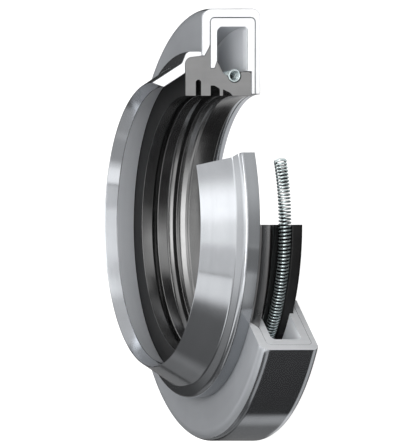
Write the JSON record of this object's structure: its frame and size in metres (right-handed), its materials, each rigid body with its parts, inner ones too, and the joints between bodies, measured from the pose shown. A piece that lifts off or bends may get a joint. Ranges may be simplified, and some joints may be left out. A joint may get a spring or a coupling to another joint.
{
  "type": "radial shaft seal",
  "caption": "Double-cased radial shaft seal, cut away in steps to show its rubber lips, garter spring, folded steel cases and cone ring.",
  "frame": {"origin": "on the shaft axis, in the plane of the outer case's flat back face", "axes": "+Z along the shaft axis, from the back face towards the cone; +X lies in the cut plane where every piece starts, and the pieces run round from +X through +Y"},
  "size_m": [0.1, 0.091, 0.0265],
  "materials": {
    "outer_case_steel": "satin",
    "inner_case_steel": "satin",
    "rubber": "satin",
    "spring_steel": "polished",
    "cone_ring_steel": "satin"
  },
  "bodies": {
    "root": {"outer_case": "outer_case_steel", "inner_case": "inner_case_steel", "sealing_element": "rubber", "garter_spring": "spring_steel", "cone_ring": "cone_ring_steel"}
  },
  "joints": []
}
